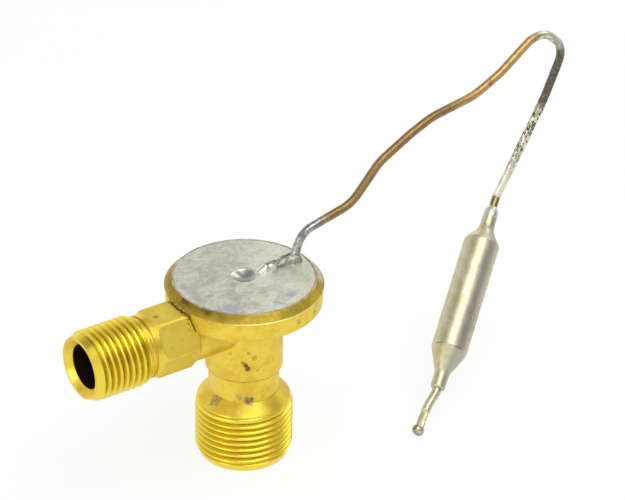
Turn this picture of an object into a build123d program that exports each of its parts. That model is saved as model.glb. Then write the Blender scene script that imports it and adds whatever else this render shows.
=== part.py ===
from build123d import *
import math
import os

# Thermostatic expansion valve, angle pattern, with a remote sensing bulb.
# Units are millimetres. The origin is the centre of the outlet port's end face, +Z runs up the
# valve's axis to the cover, the inlet port points along -X and the capillary leaves along +X.

# ---- clearances -----------------------------------------------------------------------------
sliding_clearance = 0.05  # radial, for what slides in a bore
cone_gap = 0.02  # between the closed ball and the cones that it rests in
solder_gap = 0.02  # radial, round a tube that is soldered in

# ---- outlet port, downwards -----------------------------------------------------------------
outlet_thread_r = 10.93  # crest of M22 x 1.5
outlet_thread_top_z = 14.3
outlet_lead_drop = 0.95
outlet_lead_length = 2.4
outlet_end_drop = 0.6  # bevel at the thread's upper end
outlet_end_length = 1.9
outlet_mouth_land = 1.08  # flat end face between the thread's lead and the chamfer
outlet_mouth_depth = 8.0
outlet_mouth_chamfer = 1.3
outlet_shoulder_height = 2.4  # cone from the thread to the neck

# ---- neck and upper body --------------------------------------------------------------------
neck_r = 7.9
neck_top_z = 22.4
upper_body_step = 0.75
upper_body_edge_r = 0.35
outlet_bore_r = 6.5

# ---- cover, its rolled lip and the diaphragm ------------------------------------------------
cover_face_r = 15.75
cover_bevel = 0.7
cover_rim_t = 1.2
cover_sheet_t = 0.9
cover_rim_width = 2.15  # the thicker edge of the sheet, from the face's corner inwards
lip_tip_width = 0.21
rim_solder_width = 0.55  # how far it reaches in over the cover's face
rim_solder_drop = 0.45  # how far it runs down over the lip
rim_solder_t = 0.1
dimple_r = 2.8
dimple_depth = 0.9
diaphragm_t = 0.15
diaphragm_gap = 0.15  # under the dimple, at rest
diaphragm_slope = 2.2  # width of its sloping ring

# ---- diaphragm flange, in radii from the cover and heights from the inlet's axis --------------
flange_rise = 2.95  # from the inlet's axis to the flange's underside
flange_t = 4.2
flange_edge_r = 0.5
flange_step = 0.3  # the flange is this much smaller than the turned bead
flange_cut_rise = 0.35  # where the turning of the flange stops in the hexagon
rim_bead_height = 0.2
rim_wall = 1.15  # round the cover's pocket
lip_height = 1.65
chamber_ledge = 1.75  # seat of the diaphragm's edge, from the cover face's corner inwards
chamber_depth = 4.35

# ---- inlet port, along -X -------------------------------------------------------------------
inlet_axis_z = 35.65
inlet_mouth_x = -42.3
inlet_thread_r = 7.93  # crest of M16 x 1.5
inlet_thread_length = 14.9
inlet_lead_drop = 0.95
inlet_lead_length = 2.1
inlet_end_drop = 0.9  # bevel at the thread's inner end
inlet_end_length = 1.9
inlet_mouth_land = 0.66  # flat end face between the thread's lead and the chamfer
inlet_chamfer_length = 1.44
inlet_bore_r = 4.99
inlet_bore_length = 20.3
relief_r = 6.7
relief_length = 0.75
collar_r = 7.1
collar_length = 1.45
collar_bevel = 0.9

# ---- wrench hexagon and inlet neck ----------------------------------------------------------
hex_flats = 13.6
hex_corner_r = 0.9
hex_end_x = -15.3
hex_end_bevel = 1.1
hex_end_slope = 0.9  # fall of that bevel's cone over its length
hex_neck_overlap = 0.3  # how far the neck reaches into the hexagon
inlet_neck_r = 6.85
passage_r = 3.0
passage_overrun = 3.0  # past the valve's axis
drill_point_angle = 118.0

# ---- valve seat, ball and carrier -----------------------------------------------------------
seat_ring_r = 3.0
seat_ring_length = 3.0
orifice_r = 1.4
seat_mouth_r = 2.0
feed_hole_r = 1.7
feed_hole_length = 1.65  # from the seat ring to the inlet passage
ball_r = 2.0
cup_rim_r = 1.9
carrier_boss_r = 2.6
carrier_boss_height = 1.6
carrier_disc_t = 2.0
carrier_spigot_height = 1.2
flow_hole_r = 1.25
flow_hole_pitch_r = 4.4
flow_hole_count = 4

# ---- push rods ------------------------------------------------------------------------------
push_rod_r = 0.7
push_rod_pitch_r = 4.9

# ---- buffer plate ---------------------------------------------------------------------------
buffer_plate_gap = 3.5  # from its edge to the chamber's wall
buffer_plate_t = 1.1
buffer_plate_edge = 0.35

# ---- superheat spring and adjusting nut -----------------------------------------------------
spring_mean_r = 3.9
spring_wire_d = 1.1
spring_turns = 5.0
nut_bottom_z = 9.6
nut_height = 3.6
nut_socket_flats = 6.0
nut_edge = 0.4

# ---- inlet strainer -------------------------------------------------------------------------
strainer_depth = 9.3  # from the inlet's mouth
strainer_ring_length = 2.0
strainer_ring_wall = 1.1
strainer_shoulder = 0.39  # step of the inlet bore that the ring is pressed up to
screen_t = 0.3
screen_length = 9.4
screen_tip_r = 2.4

# ---- capillary tube -------------------------------------------------------------------------
capillary_d = 2.0
capillary_bore_d = 0.8
capillary_start_gap = 2.8  # from the dimple's edge
capillary_rise_inset = 2.75  # where it turns up, from the edge of the cover's face inwards
capillary_rise_bend_r = 2.6
capillary_sink = 0.6  # how deep it lies in the cover's groove
capillary_groove_overrun = 0.6  # past the corner where the tube turns up
capillary_vent_r = 0.45
capillary_bends = [
    # x, y and height over the cover's face of each later corner, and the radius of its bend
    (15.3, 0.0, 6.25, 4.6),
    (28.8, 0.5, 9.05, 9.0),
    (36.6, 1.1, 16.85, 10.0),
    (45.5, 1.9, 20.85, 24.0),
    (51.6, 2.5, 22.95, 18.0),
    (64.5, 3.6, 24.25, 22.0),
    (72.0, 4.4, 27.25, 20.0),
    (83.8, 5.6, 34.45, 6.4),
    (92.0, 6.6, 27.35, 6.4),
    (87.8, 8.1, 13.85, 40.0),
    (80.1, 9.3, -2.05, 24.0),
]

# ---- solder over the capillary's end --------------------------------------------------------
solder_toe = (2.7, 0.5, 0.15)  # before the tube's end, half width and height
solder_crest = (0.4, 1.25, 1.5)  # before the tube's end, half width and height
solder_shoulder = (0.0, 1.7, 1.85)  # past the tube's rise, half width and height
solder_heel = (1.6, 1.3, 0.5)  # past the tube's rise, half width and height

# ---- sensing bulb, which the capillary carries ----------------------------------------------
bulb_low_end_xy = (43.24, -14.13)  # centre of the lower neck's end face
bulb_low_end_drop = 37.19  # under the cover's face
bulb_direction = (0.665, 0.4713, 0.5794)  # from the lower neck towards the upper one
bulb_r = 4.2
bulb_wall = 0.7
bulb_neck_r = 1.72
lower_neck_length = 4.2
lower_cone_length = 5.5
barrel_length = 27.5
upper_cone_length = 4.0
upper_neck_length = 4.2
bulb_neck_blend_r = 2.6
bulb_edge_r = 0.7
bulb_solder_length = 1.3
capillary_insertion = 3.0
capillary_straight_end = 2.6  # straight length outside the bulb's solder
capillary_last_bend_r = 3.6

# ---- charging tube at the bulb's lower end --------------------------------------------------
charge_tube_r = 1.03
charge_tube_insertion = 3.0
charge_tube_knee_offset = (-3.81, -1.66, -2.51)  # from the lower neck's end
charge_tube_tip_offset = (-8.09, -4.19, -5.86)  # from the lower neck's end
charge_tube_straight = 0.9  # outside the neck, before it bends
charge_tube_bends = [4.0, 2.4]
pinch_offset = 0.9  # from the knee to the start of the pinched length
pinch_blend = 0.8
pinch_t = 1.0
pinch_width = 2.0
pinch_notch_start = 0.2
pinch_notch_r = 0.22
pinch_notch_pitch = 0.75
pinch_notches = 3
tip_bead_r = 1.4
tip_bead_bite = 0.7

# ---- derived places -------------------------------------------------------------------------
valve_axis = Axis.Z
inlet_axis = Axis((0, 0, inlet_axis_z), (1, 0, 0))
drill_slope = math.tan(math.radians(drill_point_angle / 2))
root_two = math.sqrt(2)

outlet_mouth_r = outlet_thread_r - outlet_lead_drop - outlet_mouth_land - outlet_mouth_chamfer
upper_body_r = neck_r + upper_body_step
outlet_bore_top_z = inlet_axis_z - passage_r - feed_hole_length - seat_ring_length

flange_bottom_z = inlet_axis_z + flange_rise
rim_z = flange_bottom_z + flange_t + rim_bead_height
cover_top_z = rim_z + lip_height
chamber_floor_z = cover_top_z - chamber_depth
pocket_r = cover_face_r + cover_bevel
rim_r = pocket_r + rim_wall  # turned bead under the rolled lip
flange_r = rim_r - flange_step
chamber_r = cover_face_r - chamber_ledge
buffer_plate_r = chamber_r - buffer_plate_gap
cover_recess_r = cover_face_r - cover_rim_width
diaphragm_dish_r = cover_recess_r - diaphragm_slope
diaphragm_ledge_z = cover_top_z - cover_rim_t - diaphragm_t
dish_top_z = cover_top_z - cover_sheet_t - dimple_depth - diaphragm_gap
buffer_top_z = dish_top_z - diaphragm_t

inlet_rim_r = inlet_thread_r - inlet_lead_drop - inlet_mouth_land
inlet_bore_end_x = inlet_mouth_x + inlet_bore_length
strainer_x = inlet_mouth_x + strainer_depth
strainer_seat_r = inlet_bore_r - strainer_shoulder
relief_start_x = inlet_mouth_x + inlet_thread_length
collar_start_x = relief_start_x + relief_length
collar_end_x = collar_start_x + collar_length

ball_z = outlet_bore_top_z + seat_mouth_r - (ball_r + cone_gap) * root_two
cup_apex_z = ball_z - (ball_r + cone_gap) * root_two
carrier_boss_z = cup_apex_z + cup_rim_r
carrier_top_z = carrier_boss_z - carrier_boss_height
carrier_bottom_z = carrier_top_z - carrier_disc_t
nut_top_z = nut_bottom_z + nut_height

capillary_r = capillary_d / 2
capillary_lie_z = cover_top_z - capillary_sink + capillary_r
capillary_start_x = dimple_r + capillary_start_gap
capillary_rise_x = cover_face_r - capillary_rise_inset
capillary_groove_end_x = capillary_rise_x + capillary_groove_overrun
bulb_low_end = (*bulb_low_end_xy, cover_top_z - bulb_low_end_drop)


def along(start, direction, distance):
    """The point that lies a distance from start in a direction."""
    return Vector(*start) + Vector(*direction).normalized() * distance


bulb_solder_s = (
    lower_neck_length + lower_cone_length + barrel_length + upper_cone_length + upper_neck_length
)
bulb_frame = Plane(origin=bulb_low_end, z_dir=bulb_direction)
bulb_section = Plane(origin=bulb_low_end, x_dir=bulb_frame.x_dir, z_dir=-bulb_frame.y_dir)
bulb_axis = Axis(bulb_low_end, bulb_direction)


# ---- valve body: one forging, turned and bored ----------------------------------------------
with BuildPart() as wrench_hexagon:
    hexagon_length = hex_end_x - collar_end_x
    with BuildSketch(Plane(origin=(collar_end_x, 0, inlet_axis_z), x_dir=(0, 1, 0), z_dir=(1, 0, 0))):
        RegularPolygon(hex_flats / 2, 6, major_radius=False)  # flats up and down
        fillet(vertices(), hex_corner_r)
    extrude(amount=hexagon_length)
    # a cone bevels the corners at each end
    hexagon_end_r = hex_flats / 2 - hex_end_bevel / 4
    clear_r = hex_flats * 0.6
    with BuildSketch(Plane.XZ):
        with BuildLine():
            Polyline(
                (collar_end_x, inlet_axis_z),
                (collar_end_x, inlet_axis_z + collar_r),
                (collar_end_x + clear_r - collar_r, inlet_axis_z + clear_r),
                (hex_end_x - (clear_r - hexagon_end_r) / hex_end_slope, inlet_axis_z + clear_r),
                (hex_end_x, inlet_axis_z + hexagon_end_r),
                (hex_end_x, inlet_axis_z),
                close=True,
            )
        make_face()
    revolve(axis=inlet_axis, mode=Mode.INTERSECT)

with BuildPart() as valve_body:
    # outer form round the valve's axis
    with BuildSketch(Plane.XZ):
        with BuildLine():
            Polyline(
                (0, 0),
                (outlet_thread_r - outlet_lead_drop, 0),
                (outlet_thread_r, outlet_lead_length),
                (outlet_thread_r, outlet_thread_top_z - outlet_end_length),
                (outlet_thread_r - outlet_end_drop, outlet_thread_top_z),
                (neck_r, outlet_thread_top_z + outlet_shoulder_height),
                (neck_r, neck_top_z),
                (upper_body_r, neck_top_z),
                (upper_body_r, flange_bottom_z),
                (flange_r, flange_bottom_z),
                (flange_r, rim_z - rim_bead_height),
                (rim_r, rim_z - rim_bead_height / 2),
                (rim_r, rim_z),
                (cover_face_r + lip_tip_width, cover_top_z),
                (0, cover_top_z),
                close=True,
            )
        make_face()
    revolve(axis=valve_axis)
    body_step = edges().filter_by(GeomType.CIRCLE).filter_by_position(
        Axis.Z, neck_top_z - 0.01, neck_top_z + 0.01
    )
    fillet(body_step.sort_by(SortBy.RADIUS)[-1], upper_body_edge_r)
    flange_step = edges().filter_by(GeomType.CIRCLE).filter_by_position(
        Axis.Z, flange_bottom_z - 0.01, flange_bottom_z + 0.01
    )
    fillet(flange_step.sort_by(SortBy.RADIUS)[-1], flange_edge_r)

    # outer form round the inlet's axis
    with BuildSketch(Plane.XZ):
        with BuildLine():
            Polyline(
                (inlet_mouth_x, inlet_axis_z),
                (inlet_mouth_x, inlet_axis_z + inlet_thread_r - inlet_lead_drop),
                (inlet_mouth_x + inlet_lead_length, inlet_axis_z + inlet_thread_r),
                (relief_start_x - inlet_end_length, inlet_axis_z + inlet_thread_r),
                (relief_start_x, inlet_axis_z + inlet_thread_r - inlet_end_drop),
                (relief_start_x, inlet_axis_z + relief_r),
                (collar_start_x, inlet_axis_z + relief_r),
                (collar_start_x, inlet_axis_z + collar_r),
                (collar_end_x, inlet_axis_z + collar_r),
                (collar_end_x + collar_bevel, inlet_axis_z + collar_r - collar_bevel),
                (hex_end_x - hex_neck_overlap, inlet_axis_z + collar_r - collar_bevel),
                (hex_end_x - hex_neck_overlap, inlet_axis_z + inlet_neck_r),
                (0, inlet_axis_z + inlet_neck_r),
                (0, inlet_axis_z),
                close=True,
            )
        make_face()
    revolve(axis=inlet_axis)
    add(wrench_hexagon.part)

    # the tool that turns the flange cuts into the hexagon's inner end
    with BuildSketch(Plane.XY.offset(flange_bottom_z + flange_cut_rise)):
        Circle(rim_r)
        Circle(flange_r, mode=Mode.SUBTRACT)
    extrude(amount=flange_t - flange_cut_rise, mode=Mode.SUBTRACT)

    # diaphragm chamber, its ledge and the pocket under the rolled lip
    with BuildSketch(Plane.XZ):
        with BuildLine():
            Polyline(
                (0, chamber_floor_z),
                (chamber_r, chamber_floor_z),
                (chamber_r, diaphragm_ledge_z),
                (pocket_r, diaphragm_ledge_z),
                (pocket_r, cover_top_z - cover_bevel),
                (cover_face_r, cover_top_z),
                (0, cover_top_z),
                close=True,
            )
        make_face()
    revolve(axis=valve_axis, mode=Mode.SUBTRACT)

    # outlet bore, seat pocket and the feed hole above it
    with BuildSketch(Plane.XZ):
        with BuildLine():
            Polyline(
                (0, 0),
                (outlet_mouth_r + outlet_mouth_chamfer, 0),
                (outlet_mouth_r, outlet_mouth_chamfer),
                (outlet_mouth_r, outlet_mouth_depth),
                (outlet_bore_r, outlet_mouth_depth + outlet_mouth_r - outlet_bore_r),
                (outlet_bore_r, outlet_bore_top_z),
                (seat_ring_r, outlet_bore_top_z),
                (seat_ring_r, outlet_bore_top_z + seat_ring_length),
                (feed_hole_r, outlet_bore_top_z + seat_ring_length),
                (feed_hole_r, inlet_axis_z),
                (0, inlet_axis_z),
                close=True,
            )
        make_face()
    revolve(axis=valve_axis, mode=Mode.SUBTRACT)

    # inlet bore and the passage that is drilled on to the valve's axis
    with BuildSketch(Plane.XZ):
        with BuildLine():
            Polyline(
                (inlet_mouth_x, inlet_axis_z),
                (inlet_mouth_x, inlet_axis_z + inlet_rim_r),
                (inlet_mouth_x + inlet_chamfer_length, inlet_axis_z + inlet_bore_r),
                (strainer_x, inlet_axis_z + inlet_bore_r),
                (strainer_x, inlet_axis_z + strainer_seat_r),
                (inlet_bore_end_x, inlet_axis_z + strainer_seat_r),
                (inlet_bore_end_x + (strainer_seat_r - passage_r) / drill_slope, inlet_axis_z + passage_r),
                (passage_overrun, inlet_axis_z + passage_r),
                (passage_overrun + passage_r / drill_slope, inlet_axis_z),
                close=True,
            )
        make_face()
    revolve(axis=inlet_axis, mode=Mode.SUBTRACT)

    # guide holes of the push rods
    with BuildSketch(Plane.XY.offset(outlet_bore_top_z)):
        with Locations((0, -push_rod_pitch_r), (0, push_rod_pitch_r)):
            Circle(push_rod_r + sliding_clearance)
    extrude(amount=chamber_floor_z - outlet_bore_top_z, mode=Mode.SUBTRACT)

# ---- cover: stamped disc with a dimple and a groove for the capillary ------------------------
with BuildPart() as cover_disc:
    with BuildSketch(Plane.XZ):
        with BuildLine():
            Polyline(
                (0, cover_top_z),
                (cover_face_r, cover_top_z),
                (pocket_r, cover_top_z - cover_bevel),
                (pocket_r, cover_top_z - cover_rim_t),
                (cover_recess_r, cover_top_z - cover_rim_t),
                (cover_recess_r - cover_rim_t + cover_sheet_t, cover_top_z - cover_sheet_t),
                (0, cover_top_z - cover_sheet_t),
                close=True,
            )
        make_face()
    revolve(axis=valve_axis)
    # the dimple is a spherical cap, pressed through to the underside
    dimple_sphere_r = (dimple_r**2 + dimple_depth**2) / (2 * dimple_depth)
    dimple_centre_z = cover_top_z - dimple_depth + dimple_sphere_r
    with BuildSketch(Plane.XZ):
        with BuildLine():
            cap_bottom_z = cover_top_z - dimple_depth - cover_sheet_t
            cap_outer_r = dimple_sphere_r + cover_sheet_t
            cap_edge_z = cover_top_z - cover_sheet_t
            cap_edge_r = math.sqrt(cap_outer_r**2 - (dimple_centre_z - cap_edge_z) ** 2)
            RadiusArc((0, cap_bottom_z), (cap_edge_r, cap_edge_z), -cap_outer_r)
            Polyline(
                (cap_edge_r, cap_edge_z),
                (cap_edge_r, cap_edge_z + cover_sheet_t / 2),
                (0, cap_edge_z + cover_sheet_t / 2),
                (0, cap_bottom_z),
            )
        make_face()
    revolve(axis=valve_axis)
    with Locations((0, 0, dimple_centre_z)):
        Sphere(dimple_sphere_r, mode=Mode.SUBTRACT)
    # groove and the vent that joins the capillary to the space over the diaphragm
    with BuildSketch(Plane.YZ.offset(capillary_start_x)):
        with Locations((0, capillary_lie_z)):
            Circle(capillary_r + solder_gap)
    extrude(amount=capillary_groove_end_x - capillary_start_x, mode=Mode.SUBTRACT)
    with BuildSketch(Plane.XY.offset(cover_top_z)):
        with Locations((capillary_start_x + capillary_vent_r, 0)):
            Circle(capillary_vent_r)
    extrude(amount=-cover_rim_t, mode=Mode.SUBTRACT)

# ---- capillary tube: straight runs joined by tangent bends -----------------------------------
bulb_top = along(bulb_low_end, bulb_direction, bulb_solder_s + bulb_solder_length)
capillary_route = [(capillary_start_x, 0, capillary_lie_z), (capillary_rise_x, 0, capillary_lie_z)]
capillary_route += [(x, y, cover_top_z + height) for x, y, height, bend_r in capillary_bends]
capillary_route += [
    tuple(along(bulb_top, bulb_direction, capillary_straight_end)),
    tuple(along(bulb_top, bulb_direction, -bulb_solder_length - capillary_insertion)),
]
capillary_radii = [capillary_rise_bend_r, *(bend[3] for bend in capillary_bends), capillary_last_bend_r]

with BuildPart() as capillary_envelope:
    with BuildLine() as capillary_line:
        FilletPolyline(*capillary_route, radius=capillary_radii)
    with BuildSketch(Plane(origin=capillary_line.line @ 0, z_dir=capillary_line.line % 0)):
        Circle(capillary_r)
    sweep()

with BuildPart() as capillary_tube:
    with BuildLine():
        add(capillary_line.line)
    with BuildSketch(Plane(origin=capillary_line.line @ 0, z_dir=capillary_line.line % 0)):
        Circle(capillary_r)
        Circle(capillary_bore_d / 2, mode=Mode.SUBTRACT)
    sweep()

# ---- solder that seals the seam between the cover and the rolled lip -------------------------
lip_slope = (rim_r - cover_face_r - lip_tip_width) / (cover_top_z - rim_z)
with BuildPart() as rim_solder:
    lip_edge_r = cover_face_r + lip_tip_width
    solder_foot = (lip_edge_r + rim_solder_drop * lip_slope, cover_top_z - rim_solder_drop)
    with BuildSketch(Plane.XZ):
        with BuildLine():
            Polyline(
                (cover_face_r - rim_solder_width, cover_top_z),
                (lip_edge_r, cover_top_z),
                solder_foot,
                (lip_edge_r + rim_solder_t, cover_top_z + rim_solder_t / 2),
                (lip_edge_r - rim_solder_t, cover_top_z + rim_solder_t),
                close=True,
            )
        make_face()
    revolve(axis=valve_axis)
    add(capillary_envelope.part, mode=Mode.SUBTRACT)

# ---- diaphragm: thin dished sheet clamped under the cover's rim ------------------------------
with BuildPart() as diaphragm:
    with BuildSketch(Plane.XZ):
        with BuildLine():
            Polyline(
                (0, dish_top_z),
                (diaphragm_dish_r, dish_top_z),
                (cover_recess_r, diaphragm_ledge_z + diaphragm_t),
                (pocket_r, diaphragm_ledge_z + diaphragm_t),
                (pocket_r, diaphragm_ledge_z),
                (cover_recess_r, diaphragm_ledge_z),
                (diaphragm_dish_r, buffer_top_z),
                (0, buffer_top_z),
                close=True,
            )
        make_face()
    revolve(axis=valve_axis)

# ---- buffer plate between the diaphragm and the push rods -----------------------------------
with BuildPart() as buffer_plate:
    with BuildSketch(Plane.XY.offset(buffer_top_z - buffer_plate_t)):
        Circle(buffer_plate_r)
    extrude(amount=buffer_plate_t)
    chamfer(edges().filter_by(GeomType.CIRCLE), buffer_plate_edge)

# ---- push rods, one on each side of the inlet passage ----------------------------------------
push_rods = {}
for rod_name, rod_y in (("push_rod_front", -push_rod_pitch_r), ("push_rod_rear", push_rod_pitch_r)):
    with BuildPart() as push_rod:
        with BuildSketch(Plane.XY.offset(carrier_top_z)):
            with Locations((0, rod_y)):
                Circle(push_rod_r)
        extrude(amount=buffer_top_z - buffer_plate_t - carrier_top_z)
        chamfer(edges().filter_by(GeomType.CIRCLE), push_rod_r / 4)
    push_rods[rod_name] = push_rod

# ---- seat ring, ball and carrier -------------------------------------------------------------
with BuildPart() as seat_ring:
    with BuildSketch(Plane.XZ):
        with BuildLine():
            Polyline(
                (seat_mouth_r, outlet_bore_top_z),
                (seat_ring_r, outlet_bore_top_z),
                (seat_ring_r, outlet_bore_top_z + seat_ring_length),
                (orifice_r, outlet_bore_top_z + seat_ring_length),
                (orifice_r, outlet_bore_top_z + seat_mouth_r - orifice_r),
                close=True,
            )
        make_face()
    revolve(axis=valve_axis)

with BuildPart() as valve_ball:
    with Locations((0, 0, ball_z)):
        Sphere(ball_r)

with BuildPart() as ball_carrier:
    with BuildSketch(Plane.XZ):
        with BuildLine():
            Polyline(
                (0, cup_apex_z),
                (cup_rim_r, carrier_boss_z),
                (carrier_boss_r, carrier_boss_z),
                (carrier_boss_r, carrier_top_z),
                (outlet_bore_r - sliding_clearance, carrier_top_z),
                (outlet_bore_r - sliding_clearance, carrier_bottom_z),
                (spring_mean_r - spring_wire_d / 2 - sliding_clearance, carrier_bottom_z),
                (spring_mean_r - spring_wire_d / 2 - sliding_clearance, carrier_bottom_z - carrier_spigot_height),
                (0, carrier_bottom_z - carrier_spigot_height),
                close=True,
            )
        make_face()
    revolve(axis=valve_axis)
    # refrigerant passes through round holes, turned clear of the push rods
    with BuildSketch(Plane.XY.offset(carrier_top_z)):
        with PolarLocations(flow_hole_pitch_r, flow_hole_count, start_angle=180 / flow_hole_count):
            Circle(flow_hole_r)
    extrude(amount=-carrier_disc_t - carrier_spigot_height, mode=Mode.SUBTRACT)

# ---- superheat spring: a helix ground flat at both ends --------------------------------------
with BuildPart() as superheat_spring:
    spring_length = carrier_bottom_z - nut_top_z
    spring_pitch = (spring_length + spring_wire_d / 2) / spring_turns
    with BuildLine(Plane.XY.offset(nut_top_z - spring_wire_d / 4)) as spring_line:
        Helix(spring_pitch, spring_pitch * spring_turns, spring_mean_r)
    with BuildSketch(Plane(origin=spring_line.line @ 0, z_dir=spring_line.line % 0)):
        Circle(spring_wire_d / 2)
    sweep(is_frenet=True)
    split(bisect_by=Plane.XY.offset(nut_top_z), keep=Keep.TOP)
    split(bisect_by=Plane.XY.offset(carrier_bottom_z), keep=Keep.BOTTOM)

# ---- adjusting nut: threaded into the outlet bore, with a through socket ---------------------
with BuildPart() as adjusting_nut:
    with BuildSketch(Plane.XY.offset(nut_bottom_z)):
        Circle(outlet_bore_r)
    extrude(amount=nut_height)
    chamfer(edges().filter_by(GeomType.CIRCLE), nut_edge)
    with BuildSketch(Plane.XY.offset(nut_bottom_z)):
        RegularPolygon(nut_socket_flats / 2, 6, major_radius=False)
    extrude(amount=nut_height, mode=Mode.SUBTRACT)

# ---- inlet strainer: a pressed-in ring and a gauze thimble -----------------------------------
ring_inner_r = strainer_seat_r - strainer_ring_wall
with BuildPart() as strainer_ring:
    with BuildSketch(Plane(origin=(strainer_x, 0, inlet_axis_z), x_dir=(0, 1, 0), z_dir=(1, 0, 0))):
        Circle(strainer_seat_r)
        Circle(ring_inner_r, mode=Mode.SUBTRACT)
    extrude(amount=strainer_ring_length)

with BuildPart() as strainer_screen:
    with BuildSketch(Plane.XZ):
        with BuildLine():
            Polyline(
                (strainer_x, inlet_axis_z + ring_inner_r),
                (strainer_x + strainer_ring_length, inlet_axis_z + ring_inner_r),
                (strainer_x + screen_length, inlet_axis_z + screen_tip_r),
                (strainer_x + screen_length, inlet_axis_z),
                (strainer_x + screen_length - screen_t, inlet_axis_z),
                (strainer_x + screen_length - screen_t, inlet_axis_z + screen_tip_r - screen_t),
                (strainer_x + strainer_ring_length - screen_t, inlet_axis_z + ring_inner_r - screen_t),
                (strainer_x, inlet_axis_z + ring_inner_r - screen_t),
                close=True,
            )
        make_face()
    revolve(axis=inlet_axis)

# ---- solder ridge over the capillary's end ---------------------------------------------------
with BuildPart() as capillary_solder:
    for section_x, (half_width, height) in (
        (capillary_start_x - solder_toe[0], solder_toe[1:]),
        (capillary_start_x - solder_crest[0], solder_crest[1:]),
        (capillary_rise_x + solder_shoulder[0], solder_shoulder[1:]),
        (capillary_rise_x + solder_heel[0], solder_heel[1:]),
    ):
        with BuildSketch(Plane.YZ.offset(section_x)):
            with Locations((0, cover_top_z)):
                Ellipse(half_width, height)
                Rectangle(4 * half_width, 2 * height, align=(Align.CENTER, Align.MAX), mode=Mode.SUBTRACT)
    loft(ruled=True)
    add(capillary_envelope.part, mode=Mode.SUBTRACT)

# ---- sensing bulb: a drawn tube, swaged down to a neck at each end ---------------------------
lower_cone_s = lower_neck_length
barrel_s = lower_cone_s + lower_cone_length
upper_cone_s = barrel_s + barrel_length
upper_neck_s = upper_cone_s + upper_cone_length
capillary_bore_r = capillary_r + solder_gap
charge_bore_r = charge_tube_r + solder_gap

with BuildPart() as bulb_shell:
    with BuildSketch(bulb_section):
        with BuildLine():
            Polyline(
                (0, 0),
                (bulb_neck_r, 0),
                (bulb_neck_r, lower_cone_s),
                (bulb_r, barrel_s),
                (bulb_r, upper_cone_s),
                (bulb_neck_r, upper_neck_s),
                (bulb_neck_r, bulb_solder_s),
                (0, bulb_solder_s),
                close=True,
            )
        make_face()
    revolve(axis=bulb_axis)
    for step_s, step_r, blend_r in (
        (lower_cone_s, bulb_neck_r, bulb_neck_blend_r),
        (barrel_s, bulb_r, bulb_edge_r),
        (upper_cone_s, bulb_r, bulb_edge_r),
        (upper_neck_s, bulb_neck_r, bulb_neck_blend_r),
    ):
        step_point = along(bulb_low_end, bulb_direction, step_s)
        step_edges = edges().filter_by(GeomType.CIRCLE).filter_by(
            lambda e: (e.arc_center - step_point).length < 0.05 and abs(e.radius - step_r) < 0.05
        )
        fillet(step_edges, blend_r)
    with BuildSketch(bulb_section):
        with BuildLine():
            Polyline(
                (0, 0),
                (charge_bore_r, 0),
                (charge_bore_r, lower_cone_s),
                (bulb_r - bulb_wall, barrel_s),
                (bulb_r - bulb_wall, upper_cone_s),
                (capillary_bore_r, upper_neck_s),
                (capillary_bore_r, bulb_solder_s),
                (0, bulb_solder_s),
                close=True,
            )
        make_face()
    revolve(axis=bulb_axis, mode=Mode.SUBTRACT)

with BuildPart() as bulb_solder:
    with BuildSketch(bulb_section):
        with BuildLine():
            solder_top_s = bulb_solder_s + bulb_solder_length
            Line((capillary_bore_r, bulb_solder_s), (bulb_neck_r, bulb_solder_s))
            TangentArc((bulb_neck_r, bulb_solder_s), (capillary_bore_r, solder_top_s), tangent=(0, 1))
            Line((capillary_bore_r, solder_top_s), (capillary_bore_r, bulb_solder_s))
        make_face()
    revolve(axis=bulb_axis)

# ---- charging tube: round, bent at a knee, then pinched flat and sealed ----------------------
knee = Vector(*bulb_low_end) + Vector(*charge_tube_knee_offset)
tip = Vector(*bulb_low_end) + Vector(*charge_tube_tip_offset)
tip_direction = (tip - knee).normalized()
pinch_start = knee + tip_direction * pinch_offset
pinch_full = pinch_start + tip_direction * pinch_blend
pinch_end = tip - tip_direction * (tip_bead_r - tip_bead_bite)
pinch_side = Vector(0, 0, 1).cross(tip_direction).normalized()

with BuildPart() as charge_tube:
    with BuildLine() as charge_line:
        charge_root = tuple(along(bulb_low_end, bulb_direction, charge_tube_insertion))
        charge_exit = tuple(along(bulb_low_end, bulb_direction, -charge_tube_straight))
        FilletPolyline(
            charge_root, charge_exit, tuple(knee), tuple(pinch_start), radius=charge_tube_bends
        )
    with BuildSketch(Plane(origin=charge_line.line @ 0, z_dir=charge_line.line % 0)):
        Circle(charge_tube_r)
    sweep()
    with BuildSketch(Plane(origin=pinch_start, x_dir=pinch_side, z_dir=tip_direction)):
        Circle(charge_tube_r)
    with BuildSketch(Plane(origin=pinch_full, x_dir=pinch_side, z_dir=tip_direction)):
        SlotOverall(pinch_width, pinch_t)
    loft()
    with BuildSketch(Plane(origin=pinch_full, x_dir=pinch_side, z_dir=tip_direction)):
        SlotOverall(pinch_width, pinch_t)
    extrude(amount=(pinch_end - pinch_full).length)
    # the pinching tool leaves a row of notches across one edge
    for notch in range(pinch_notches):
        notch_point = pinch_full + tip_direction * (pinch_notch_start + notch * pinch_notch_pitch)
        notch_plane = Plane(
            origin=notch_point + pinch_side * pinch_width / 2,
            x_dir=tip_direction,
            z_dir=pinch_side.cross(tip_direction),
        )
        with BuildSketch(notch_plane):
            Circle(pinch_notch_r)
        extrude(amount=pinch_t, both=True, mode=Mode.SUBTRACT)

# ---- bead of solder that closes the charging tube: a ball with a flat against the tube's end ----
with BuildPart() as tip_bead:
    with Locations(Plane(origin=tip, z_dir=tip_direction)):
        Sphere(tip_bead_r)
    split(bisect_by=Plane(origin=pinch_end, z_dir=tip_direction), keep=Keep.TOP)

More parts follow.
